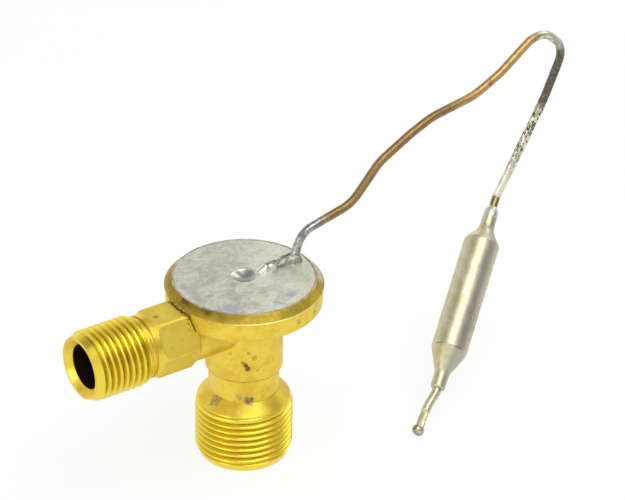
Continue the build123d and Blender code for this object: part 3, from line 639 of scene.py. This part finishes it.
def thread_sleeve(
    name, end_face, shift, crest_r, length, lead_length, end_drop, end_tuck, fade, phase, around
):
    """A sleeve with a right-handed V thread, from the middle of a port's end face inwards.

    Its rows follow the helix: a row that starts s along the axis lies at s + pitch*angle/turn + phase,
    held between the two ends.  The groove is a rounded trapezium of the place within the pitch; it
    fades out at both ends, and the radius stays under the lead's cone and the inner end's bevel.
    The shift rolls (along, across, across) into (x, y, z).  The attribute root says how deep a point
    lies in the groove, from 0 outside to 1 at the root."""
    places = np.array([0, 0.07, 0.14, 0.235, 0.335, 0.43, 0.5, 0.57, 0.665, 0.765, 0.86, 0.93])
    root_until, crest_from = 0.06, 0.39  # shares of the pitch, from the middle of the root
    per_turn = len(places)
    turns = math.ceil(length / PITCH) + 1
    starts = (np.arange(-1, turns)[:, None] + places).ravel() * PITCH
    angle = np.linspace(0, TURN, around, endpoint=False)
    s = starts[:, None] + PITCH * angle / TURN + phase
    from_root = np.abs((starts / PITCH + 0.5) % 1 - 0.5)[:, None]
    share = np.clip((from_root - root_until) / (crest_from - root_until), 0, 1)
    share = 0.6 * share + 0.4 * share * share * (3 - 2 * share)
    held = np.clip(s, THREAD_START, length)

    def outside(along):
        lead = LEAD_DROP * np.clip(1 - along / lead_length, 0, 1)
        return lead + end_drop * np.clip((along - length) / END_LENGTH + 1, 0, 1)

    run_out = 1 - ramp(held, length - fade, length - fade / 4)
    depth = THREAD_DEPTH * (1 - share) * run_out * ramp(held, GROOVE_FROM, GROOVE_FULL)
    radius = crest_r - np.maximum(depth, outside(held)) - 0.005
    # three more rows close the sleeve: tucked in at its inner end, then down its bore
    tuck_r = crest_r - end_drop - end_tuck * 2.2
    inner_r = crest_r - THREAD_DEPTH - SLEEVE_WALL
    closing_s = np.array([length + end_tuck, length + end_tuck, THREAD_START])
    closing_r = np.array([tuck_r, inner_r, inner_r])
    rows_s, rows_r = (
        np.concatenate([rows, np.repeat(closing[:, None], around, 1)])
        for rows, closing in ((held, closing_s), (radius, closing_r))
    )
    count = len(starts)
    wrap = np.r_[np.minimum(np.arange(count) + per_turn, count - 1), count, count + 1, count + 2]
    rows = np.arange(count + 3)
    following = (rows + 1) % (count + 3)
    index = rows[:, None] * around + np.arange(around)
    beside = index + 1
    beside[:, -1] = wrap * around
    faces = np.stack([index, beside, beside[following], index[following]], -1).reshape(-1, 4)
    local = np.stack([rows_s, rows_r * np.cos(angle), rows_r * np.sin(angle)], -1)
    placed = np.roll(local, shift, axis=-1) + end_face
    made = piece(name, placed.reshape(-1, 3), faces.tolist(), 50)
    merged = np.empty(len(made.data.vertices) * 3)
    made.data.vertices.foreach_get("co", merged)
    along, *across = np.roll(merged.reshape(-1, 3) / METRES - end_face, -shift, axis=-1).T
    deep = np.clip((crest_r - outside(along) - np.hypot(*across) - 0.02) / THREAD_DEPTH, 0, 1)
    made.data.attributes.new("root", "FLOAT", "POINT").data.foreach_set("value", deep)
    return made


# ---- cover and solder -------------------------------------------------------------------------
DIMPLE_R, DIMPLE_DEPTH, DIMPLE_AT = 2.95, 1.0, (0.25, 0.35)
COVER_EDGE_R, COVER_BEVEL, COVER_T = 15.75, 0.7, 1.2
INNER_RINGS, DRIFT_FROM, DRIFT_TO = 46, 3.4, 4.6  # rings inside DRIFT_FROM are centred on the dimple
# stations of the solder ridge: x, half width and height
RIDGE = np.array([
    (2.9, 0.1, 0.05), (3.6, 0.75, 0.4), (5.2, 1.2, 1.3), (8.5, 1.35, 1.45),
    (11.5, 1.5, 1.5), (13.2, 1.75, 1.75), (14.4, 1.5, 1.0), (14.9, 0.2, 0.05),
])


def cover_rings():
    """The stamped cover as a turned sheet whose rings drift to the middle of its dished dimple.

    z = top - depth * (1 - (r/R)^2)^1.1 inside the dimple, with a faint swell round it."""
    radii = np.r_[np.linspace(0.02, DRIFT_TO, INNER_RINGS), np.linspace(4.9, COVER_EDGE_R - 0.12, 34)]
    drop = DIMPLE_DEPTH * np.clip(1 - (radii / DIMPLE_R) ** 2, 0, 1) ** 1.1
    swell = 0.05 * np.exp(-((radii - DIMPLE_R * 1.2) / 0.45) ** 2)
    height = COVER_TOP - drop + swell
    low, rim = COVER_TOP - COVER_T, COVER_EDGE_R + COVER_BEVEL - 0.02
    edge_and_underside = [
        (COVER_TOP - 0.02, COVER_EDGE_R - 0.03), (COVER_TOP - 0.12, COVER_EDGE_R + 0.06),
        (COVER_TOP - COVER_BEVEL, rim), (low, rim), (low, 14.2), (low, 9.0), (low - 0.25, 4.0),
        (COVER_TOP - 1.75, 1.6),
    ]
    profile = np.concatenate([np.stack([height, radii], -1), edge_and_underside])
    rings = turned_rings((0, 0, 0), (0, 0, 1), profile, 144)
    drift = 1 - ramp(radii[:INNER_RINGS], DRIFT_FROM, DRIFT_TO)
    rings[:INNER_RINGS, :, :2] += np.array(DIMPLE_AT) * drift[:, None, None]
    top = (np.arange(len(profile)) < len(radii))[:, None]
    inside = np.linalg.norm(rings[..., :2], axis=-1) < COVER_EDGE_R - 0.6
    rings[..., 2] += top * inside * 0.022 * waves(rings, 5.0, 3)
    return rings


def rim_solder_rings():
    """Thin solder over the seam of cover and lip: an oval bead round the axis, its size uneven.

    It swells where the tube crosses it, and its outer part slopes down with the cover's bevel."""
    seam_r, bevel_r, slope = 15.78, 15.96, 0.91
    half_width, half_height, near = 0.22, 0.06, 0.35
    angle = np.linspace(0, TURN, 240, endpoint=False)
    ring = np.stack([np.cos(angle), np.sin(angle), np.zeros_like(angle)], -1)
    round_it = np.linspace(0, TURN, 14, endpoint=False)
    near_tube = np.exp(-(np.minimum(angle, TURN - angle) / near) ** 2)
    uneven = 1 + 0.3 * waves(ring * 16, 4.0, 5) + 0.8 * near_tube
    radius = seam_r + (half_width * uneven)[:, None] * np.cos(round_it)
    up = (half_height * np.sqrt(uneven))[:, None] * np.sin(round_it)
    height = COVER_TOP - 0.03 + up - np.clip(radius - bevel_r, 0, None) * slope
    return np.stack([radius * np.cos(angle)[:, None], radius * np.sin(angle)[:, None], height], -1)


def torus_piece(name, rings):
    """A closed ring of rings, joined end to end."""
    count, around = rings.shape[:2]
    rows = np.arange(count)
    return piece(name, rings.reshape(-1, 3), quads(rows, (rows + 1) % count, around).tolist(), 60)


def solder_ridge_rings():
    """Solder heaped along the capillary's end: half-oval sections, their edges and crest pushed about."""
    stations, half_widths, heights = RIDGE.T
    x = np.linspace(stations[0], stations[-1], 110)
    half_width, height = (np.interp(x, stations, sizes) for sizes in (half_widths, heights))
    angle = np.linspace(0, TURN, 56, endpoint=False)
    across, up = np.cos(angle), np.sin(angle)
    rings = np.empty((len(x), len(angle), 3))
    rings[..., 0] = x[:, None]
    flared = np.sign(across) * np.abs(across) ** 0.8
    rings[..., 1] = half_width[:, None] * flared
    rings[..., 2] = COVER_TOP - 0.05 + height[:, None] * np.where(up > 0, np.abs(up) ** 1.15, 0.0)
    lump = 0.8 * waves(rings, 2.6, 11) + 0.3 * waves(rings, 1.0, 12)
    held = np.clip(np.minimum(x - stations[0], stations[-1] - x) / 0.8, 0, 1)[:, None] * (up > 0.02)
    outward = np.stack([np.zeros_like(up), across, np.clip(up, 0, 1)], -1)
    rings += outward * (lump * held * (0.06 + 0.14 * ramp(x, 6.0, 8.5)[:, None]))[..., None]
    # solder that ran out to one side of the ridge
    run = np.exp(-((x - 7.2) / 0.55) ** 2)[:, None] * np.clip(-across, 0, 1)[None, :] ** 3
    rings[..., 1] -= run * 0.9
    return rings


# ---- capillary --------------------------------------------------------------------------------
CAPILLARY_LIE = COVER_TOP - 0.6 + CAPILLARY_R
BULB_LOW_END = np.array([43.24, -14.13, 7.46])
BULB_WAY = np.array([0.665, 0.4713, 0.5794])
BULB_WAY /= np.linalg.norm(BULB_WAY)
BULB_LENGTHS = (4.2, 5.5, 27.5, 4.0, 4.2)
BULB_SIDE = np.array([0.697, -0.671, -0.254])  # across the bulb, towards the side with the painted dark reflection band
BULB_LENGTH = sum(BULB_LENGTHS)
BULB_SOLDER = 1.3
BULB_NECK_R = 1.72
BEND_HEIGHTS = [
    # x, y, height over the cover, bend radius
    (15.3, 0.0, 6.25, 4.6), (28.8, 0.5, 9.05, 9.0), (36.6, 1.1, 16.85, 10.0), (45.5, 1.9, 20.85, 24.0),
    (51.6, 2.5, 22.95, 18.0), (64.5, 3.6, 24.25, 22.0), (72.0, 4.4, 27.25, 20.0), (83.8, 5.6, 34.45, 6.4),
    (92.0, 6.6, 27.35, 6.4), (87.8, 8.1, 13.85, 40.0), (80.1, 9.3, -2.05, 24.0),
]
BULB_TOP = BULB_LOW_END + BULB_WAY * (BULB_LENGTH + BULB_SOLDER)
CAPILLARY_CORNERS = [
    (5.6, 0.0, CAPILLARY_LIE), (13.0, 0.0, CAPILLARY_LIE),
    *[(x, y, COVER_TOP + height) for x, y, height, _ in BEND_HEIGHTS],
    tuple(BULB_TOP + BULB_WAY * 2.6), tuple(BULB_TOP - BULB_WAY * (BULB_SOLDER + 3.0)),
]
ROUTE_STEP = 0.3
CAPILLARY_ROUTE, CAPILLARY_ALONG = rounded_route(
    CAPILLARY_CORNERS, [2.6, *[radius for *_, radius in BEND_HEIGHTS], 3.6], ROUTE_STEP
)
ROUTE_LENGTH = CAPILLARY_ALONG[-1]
CROWN_START = CAPILLARY_ALONG[np.argmax(CAPILLARY_ROUTE[:, 2])] - 2


def capillary_piece():
    """The tube along its route, a little flattened in its tight bends and lumpy where it is tinned."""
    path = CAPILLARY_ROUTE
    tangent, _, _ = frames_along(path, np.array([0.0, 1.0, 0.0]))
    turn = np.linalg.norm(np.gradient(tangent, axis=0), axis=1) / ROUTE_STEP
    for _ in range(12):
        turn[1:-1] = (turn[:-2] + 2 * turn[1:-1] + turn[2:]) / 4
    flat = np.clip(turn * 0.28, 0, 0.07)
    wide, high = CAPILLARY_R * (0.985 + flat * 0.2), CAPILLARY_R * (0.985 - flat)
    rings = tube_rings(path, (0, 1, 0), wide, high, 32)
    tinned = ramp(CAPILLARY_ALONG, CROWN_START + 16, CROWN_START + 30)
    tinned *= 1 - ramp(CAPILLARY_ALONG, ROUTE_LENGTH - 12, ROUTE_LENGTH - 10)
    near_head = 1 - ramp(CAPILLARY_ALONG, 12, 18)
    lump = waves(rings, 2.2, 21) * 0.6 + waves(rings, 0.9, 22) * 0.5
    lump *= (tinned * 0.075 + near_head * 0.03)[:, None]
    middle = path[:, None]
    rings = middle + (rings - middle) * (1 + lump)[..., None]
    made = closed_rings("capillary_line", rings, 70)
    along = np.r_[np.repeat(CAPILLARY_ALONG, rings.shape[1]), 0, ROUTE_LENGTH]
    made.data.attributes.new("along", "FLOAT", "POINT").data.foreach_set("value", along)
    return made


# ---- bulb and its charging tube ---------------------------------------------------------------


def bulb_rings():
    """Swaged tube turned about its slanting axis: necks, cones and barrel with softened corners."""
    lower_neck, lower_cone, barrel, upper_cone, upper_neck = np.cumsum(BULB_LENGTHS)
    outline = [
        (0, 0.9), (0, BULB_NECK_R - 0.25), (0.25, BULB_NECK_R), (lower_neck - 0.9, BULB_NECK_R),
        (lower_neck, BULB_NECK_R + 0.12), (lower_cone - 0.35, BULB_R - 0.12), (lower_cone + 0.25, BULB_R),
        (barrel - 0.1, BULB_R), (barrel + 0.35, BULB_R - 0.22), (barrel + 2.2, BULB_NECK_R + 0.85),
        (barrel + 3.2, BULB_NECK_R + 0.3), (upper_cone + 0.4, BULB_NECK_R), (upper_neck - 0.2, BULB_NECK_R),
        (upper_neck, BULB_NECK_R - 0.2), (upper_neck, 0.9),
    ]
    profile = smooth_profile(outline, 0.16, 3)
    rings = turned_rings(BULB_LOW_END, BULB_WAY, profile, 96)
    middle = (BULB_LOW_END + profile[:, :1] * BULB_WAY)[:, None]
    # the swaged cones and necks are less true than the drawn barrel
    reach = profile[:, :1]
    worked = 1 - ramp(reach, lower_cone - 1, lower_cone + 1) * (1 - ramp(reach, barrel - 1, barrel + 1))
    uneven = waves(rings, 6.0, 31) * 0.006 + waves(rings, 2.4, 32) * (0.003 + 0.014 * worked)
    return middle + (rings - middle) * (1 + uneven - 0.006)[..., None]


def bulb_solder_rings():
    """A cap of solder round the capillary where it enters the upper neck, lumpy and lopsided."""
    outline = [
        (-1.7, 1.0), (-1.65, BULB_NECK_R - 0.02), (-0.4, BULB_NECK_R + 0.06), (0.3, 1.62), (0.95, 1.3),
        (BULB_SOLDER, 1.05), (BULB_SOLDER, 0.6),
    ]
    profile = smooth_profile(outline, 0.09, 4)
    neck_end = BULB_LOW_END + BULB_WAY * BULB_LENGTH
    rings = turned_rings(neck_end, BULB_WAY, profile, 64)
    middle = (neck_end + profile[:, :1] * BULB_WAY)[:, None]
    uneven = waves(rings, 2.6, 41) * 0.05 + waves(rings, 0.9, 42) * 0.015
    return middle + (rings - middle) * (1 + uneven)[..., None]


CHARGE_R = 1.03
CHARGE_KNEE = BULB_LOW_END + np.array([-3.81, -1.66, -2.51])
CHARGE_TIP = BULB_LOW_END + np.array([-8.09, -4.19, -5.86])
TIP_WAY = (CHARGE_TIP - CHARGE_KNEE) / np.linalg.norm(CHARGE_TIP - CHARGE_KNEE)
PINCH_START, PINCH_BLEND, PINCH_T, PINCH_WIDTH = 0.9, 0.8, 1.0, 2.0
NOTCH_FROM, NOTCH_STEP, NOTCH_REACH, NOTCH_DEPTH = 0.2, 0.75, 0.16, 0.32
BEAD_R, BEAD_BITE = 1.4, 0.7


def charge_tube_rings():
    """Round tube, bent at its knee and pinched flat towards its tip, with three notches in one edge.

    The half height falls from the tube's to the pinched one just past the knee, and each notch is a
    short dip of the half width on the upper side only."""
    corners = [
        BULB_LOW_END + BULB_WAY * 3.0, BULB_LOW_END - BULB_WAY * 0.9, CHARGE_KNEE,
        CHARGE_KNEE + TIP_WAY * PINCH_START, CHARGE_TIP - TIP_WAY * (BEAD_R - BEAD_BITE - 0.25),
    ]
    path, along = rounded_route(corners, [4.0, 2.4, 1.0], 0.09)
    to_tip = np.linalg.norm(path - CHARGE_TIP, axis=1)
    pinch_from = np.linalg.norm(CHARGE_TIP - CHARGE_KNEE) - PINCH_START
    flat = ramp(pinch_from - to_tip, 0, PINCH_BLEND) * (along > along[-1] / 2)
    side = np.cross((0.0, 0.0, 1.0), TIP_WAY)
    angle = np.linspace(0, TURN, 40, endpoint=False)
    _, first, second = frames_along(path, side)
    width = CHARGE_R + flat * (PINCH_WIDTH / 2 - CHARGE_R)
    height = CHARGE_R + flat * (PINCH_T / 2 - CHARGE_R)
    square = 1 - 0.25 * flat
    cosine, sine = np.cos(angle), np.sin(angle)
    reach = np.sign(cosine) * np.abs(cosine) ** square[:, None]
    lift = np.sign(sine) * np.abs(sine) ** square[:, None]
    from_notch = pinch_from - PINCH_BLEND - to_tip - NOTCH_FROM
    notch = sum(np.exp(-((from_notch - NOTCH_STEP * i) / NOTCH_REACH) ** 2) for i in range(3)) * flat
    wide = width[:, None] * reach - NOTCH_DEPTH * notch[:, None] * np.clip(reach, 0, 1) ** 2
    high = height[:, None] * lift
    rings = path[:, None] + wide[..., None] * first[:, None] + high[..., None] * second[:, None]
    return rings + 0.03 * waves(rings, 1.6, 51)[..., None] * (rings - path[:, None])


def tip_bead_rings():
    """The bead that seals the tip: a ball pulled a little out of true."""
    angle = np.linspace(0.02, math.pi * 0.99, 36)
    profile = np.stack([-BEAD_R * np.cos(angle), BEAD_R * np.sin(angle)], -1)
    profile = profile[profile[:, 0] > -(BEAD_R - BEAD_BITE) - 0.05]
    rings = turned_rings(CHARGE_TIP, TIP_WAY, profile, 48)
    uneven = 0.975 + 0.05 * waves(rings, 2.2, 61) + 0.015 * waves(rings, 0.8, 62)
    return CHARGE_TIP + (rings - CHARGE_TIP) * uneven[..., None]


# ---- putting the pieces on the frame ----------------------------------------------------------


def dress(made, finish, material_slot, *nodes):
    """Gives a new piece its finish, its body and the nodes that it stands for."""
    made.data.materials.clear()
    made.data.materials.append(finish)
    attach(made, "valve")
    if nodes:
        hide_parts(*nodes)


def finish_node(node, finish):
    """Gives a node of the frame a better finish; its mesh stays as it is."""
    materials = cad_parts[node].data.materials
    materials.clear()
    materials.append(finish)


def build_valve():
    brass, threads = brass_body(), brass_threads()
    dress(body_without_crests(), brass, "brass", "valve_body")
    outlet = thread_sleeve(
        "outlet_thread_turns", (0, 0, 0), -1, OUTLET_THREAD_R, OUTLET_THREAD_LENGTH - 0.05,
        OUTLET_LEAD_LENGTH, OUTLET_END_DROP, end_tuck=0.12, fade=0.25, phase=-0.44, around=144,
    )
    dress(outlet, threads, "brass")
    inlet = thread_sleeve(
        "inlet_thread_turns", (INLET_MOUTH, 0, INLET_AXIS), 0, INLET_THREAD_R, INLET_THREAD_LENGTH,
        INLET_LEAD_LENGTH, INLET_END_DROP, end_tuck=0.0, fade=0.4, phase=0.0, around=128,
    )
    dress(inlet, threads, "brass")
    dress(closed_rings("cover_sheet", cover_rings(), 50), tinned_cover(), "tinned_steel", "cover_disc")
    seam_finish = plain_metal("rim_solder", (206, 196, 150), (150, 142, 112), 0.34, 2.0)
    dress(torus_piece("rim_solder_bead", rim_solder_rings()), seam_finish, "solder", "rim_solder")
    heap = closed_rings("solder_heap", solder_ridge_rings(), 80)
    dress(heap, ridge_solder(), "solder", "capillary_solder")
    dress(capillary_piece(), capillary_metal(), "copper", "capillary_tube")
    bulb = tinned_bulb()
    dress(closed_rings("bulb_body", bulb_rings()), bulb, "tinned_copper", "bulb_shell")
    cap = closed_rings("bulb_solder_cap", bulb_solder_rings(), 80)
    dress(cap, cap_solder(), "solder", "bulb_solder")
    dress(closed_rings("charge_stub", charge_tube_rings(), 70), bulb, "tinned_copper", "charge_tube")
    bead_finish = plain_metal("seal_bead", (208, 200, 178), (140, 132, 110), 0.3)
    dress(closed_rings("seal_bead", tip_bead_rings(), 80), bead_finish, "solder", "tip_bead")
    bright_steel = plain_metal("ground_steel", (196, 198, 200), (168, 170, 172), 0.18)
    for node in ("diaphragm", "buffer_plate", "push_rod_front", "push_rod_rear", "seat_ring", "valve_ball"):
        finish_node(node, bright_steel)
    finish_node("superheat_spring", plain_metal("spring_wire", (150, 150, 148), (104, 102, 98), 0.3))
    turned_brass = plain_metal("turned_brass", (240, 205, 70), (204, 162, 48), 0.22)
    for node in ("ball_carrier", "adjusting_nut", "strainer_ring"):
        finish_node(node, turned_brass)
    finish_node("strainer_screen", gauze_metal())


# ---- stage ------------------------------------------------------------------------------------


def camera_axes(azimuth, elevation, roll):
    """Right, up and backward directions of a camera at a bearing round the valve."""
    a, e, r = map(math.radians, (azimuth, elevation, roll))
    back = np.array([math.sin(a) * math.cos(e), -math.cos(a) * math.cos(e), math.sin(e)])
    right = np.array([math.cos(a), math.sin(a), 0.0])
    up = np.cross(back, right)
    return math.cos(r) * right + math.sin(r) * up, math.cos(r) * up - math.sin(r) * right, back


def add_camera():
    """A long lens aimed over the valve's middle; angles in degrees and lengths in mm."""
    right, up, back = camera_axes(-34.84, 31.03, 0.8)
    aim = np.array([0.0, 0.0, 22.0]) + 15.21 * right + 25.18 * up
    distance = 830.1
    lens = bpy.data.cameras.new("camera")
    lens.lens, lens.sensor_width = 215.45, 36.0
    lens.clip_start, lens.clip_end = 0.05, 10.0
    made = bpy.data.objects.new("camera", lens)
    bpy.context.scene.collection.objects.link(made)
    turn = Matrix([right, up, back]).transposed()
    made.matrix_world = Matrix.Translation(Vector((aim + distance * back) * METRES)) @ turn.to_4x4()
    bpy.context.scene.camera = made


def softbox(name, place, size, watts):
    """A square area lamp at a place in metres, turned to face the valve."""
    aim = Vector((0.02, 0.0, 0.03))
    lamp = bpy.data.lights.new(name, "AREA")
    lamp.shape, lamp.size, lamp.energy = "SQUARE", size, watts
    made = bpy.data.objects.new(name, lamp)
    made.location = place
    made.rotation_euler = (Vector(place) - aim).to_track_quat("Z", "Y").to_euler()
    bpy.context.scene.collection.objects.link(made)


def seen_plainly(nodes):
    """1 for rays that see the backdrop itself, from the camera, in a reflection or through glass, and
    a second value that is 1 for reflections only."""
    camera, glass, mirrored = (
        nodes.node("LightPath", {}, {}, ray)
        for ray in ("Is Camera Ray", "Is Transmission Ray", "Is Glossy Ray")
    )
    return camera.maths("MAXIMUM", glass).maths("MAXIMUM", mirrored), mirrored


def add_world():
    """White backdrop for rays that see it plainly, and even soft light for all others.

    Reflections see a room: white up to a little over the horizon, with a greyer ceiling, a dim part to
    the front right, a small dim part to the right and a small bright window low behind the valve."""
    world = bpy.data.worlds.new("studio")
    world.use_nodes = True
    bpy.context.scene.world = world
    room = Nodes(world.node_tree)
    seen, mirrored = seen_plainly(room)
    place = room.node("TexCoord", {}, {}, "Generated")
    ceiling = room.along(place, (0, 0, 1)).rise(0.42, 0.85, 0.68, "LINEAR")
    # direction of each part, where it begins and is full, and how much light it takes or adds
    front, side, window = (
        room.along(place, way).rise(low, high, most, "LINEAR")
        for way, low, high, most in (
            ((0.62, -0.70, 0.36), 0.70, 0.94, 0.65),
            ((0.86, 0.42, 0.28), 0.91, 0.98, 0.55),
            ((0.47, 0.88, 0.07), 0.975, 0.99, 0.7),
        )
    )
    darker = ceiling.maths("MAXIMUM", front).maths("MAXIMUM", side)
    strength = (1 - darker * mirrored) * (window * mirrored + 1)
    backdrop = room.node("Background", {}, {0: (1, 1, 1, 1), 1: strength})
    lighting = room.node("Background", {}, {0: (1, 1, 1, 1), 1: 0.6})
    mix = room.node("MixShader", {}, {0: seen, 1: lighting, 2: backdrop})
    room.put(mix, room.tree.nodes["World Output"].inputs[0])


def add_floor():
    """A wide pale floor that shows white, and keeps part of the valve's shadow."""
    mesh = bpy.data.meshes.new("floor")
    reach, drop = 1.5, -0.0002
    corners = [(-reach, -reach, drop), (reach, -reach, drop), (reach, reach, drop), (-reach, reach, drop)]
    mesh.from_pydata(corners, [], [(0, 1, 2, 3)])
    floor = bpy.data.objects.new("floor", mesh)
    bpy.context.scene.collection.objects.link(floor)
    finish = Finish("pale_floor")
    finish.feed(Base_Color=(0.9, 0.9, 0.9, 1.0), Metallic=0.0, Roughness=0.8, Specular_IOR_Level=0.0)
    seen, _ = seen_plainly(finish)
    glow = finish.node("Emission", {}, {0: (1, 1, 1, 1)})
    surface = Value(finish, finish.shader.outputs[0])
    share = 0.88  # of the glow; the lit surface, with the shadow, gives the rest
    mix = finish.node("MixShader", {}, {0: seen * share, 1: surface, 2: glow})
    finish.put(mix, finish.tree.nodes["Material Output"].inputs[0])
    mesh.materials.append(finish.material)


def add_stage():
    bpy.context.scene.view_settings.view_transform = "Standard"
    add_camera()
    add_world()
    add_floor()
    softbox("key", (0.02, -0.22, 0.60), 0.40, 2.0)
    softbox("left", (-0.55, -0.10, 0.25), 0.30, 0.6)
    softbox("back", (0.50, 0.12, 0.40), 0.30, 0.6)


add_stage()
build_valve()
